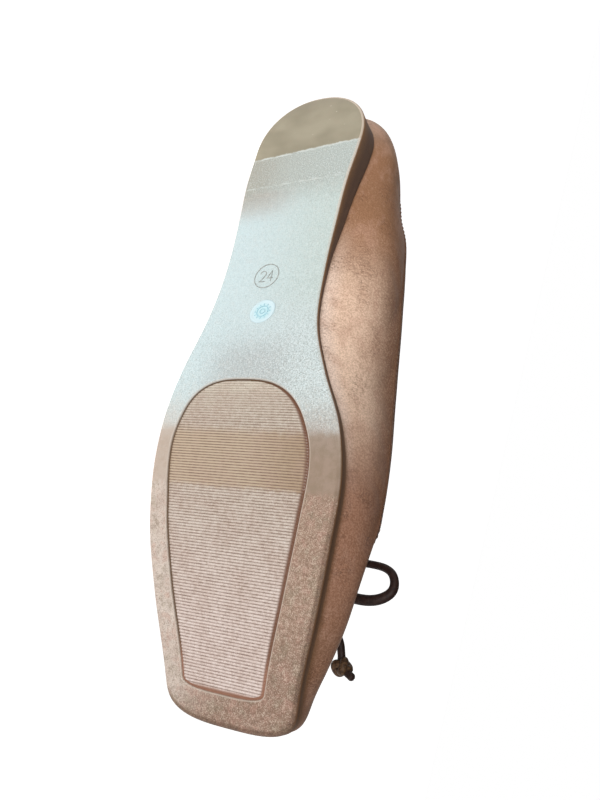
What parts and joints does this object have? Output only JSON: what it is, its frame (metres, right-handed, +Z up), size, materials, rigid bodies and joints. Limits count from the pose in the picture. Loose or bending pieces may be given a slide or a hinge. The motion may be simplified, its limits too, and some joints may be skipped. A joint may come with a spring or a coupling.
{
  "type": "ballet flat",
  "caption": "Square-toed slip-on ballet flat with a moulded sole, ribbed forefoot panel, low heel, hollow soft upper and thin cord bow, lying on its outer side.",
  "frame": {"origin": "bottom centre of the bounding box of the shoe without its bow, on the floor it lies on", "axes": "+X from heel to toe, +Z up with the inner side of the shoe on top, +Y from the sole towards the open collar"},
  "size_m": [0.257, 0.0608, 0.1008],
  "materials": {
    "sole_rubber": "moulded taupe rubber with a fine frosted shimmer, glossier where worn",
    "upper_suede": "rose-tan microfibre suede with a fine grain and a faint metallic sheen",
    "insole_cloth": "plain beige lining cloth over a board",
    "bow_cord": "round dark brown cord with a soft gloss"
  },
  "bodies": {
    "root": {"outsole": "sole_rubber", "upper": "upper_suede", "insole": "insole_cloth", "bow_knot": "bow_cord", "bow_loop_inner": "bow_cord", "bow_loop_outer": "bow_cord", "bow_end_inner": "bow_cord", "bow_end_outer": "bow_cord"}
  },
  "joints": []
}
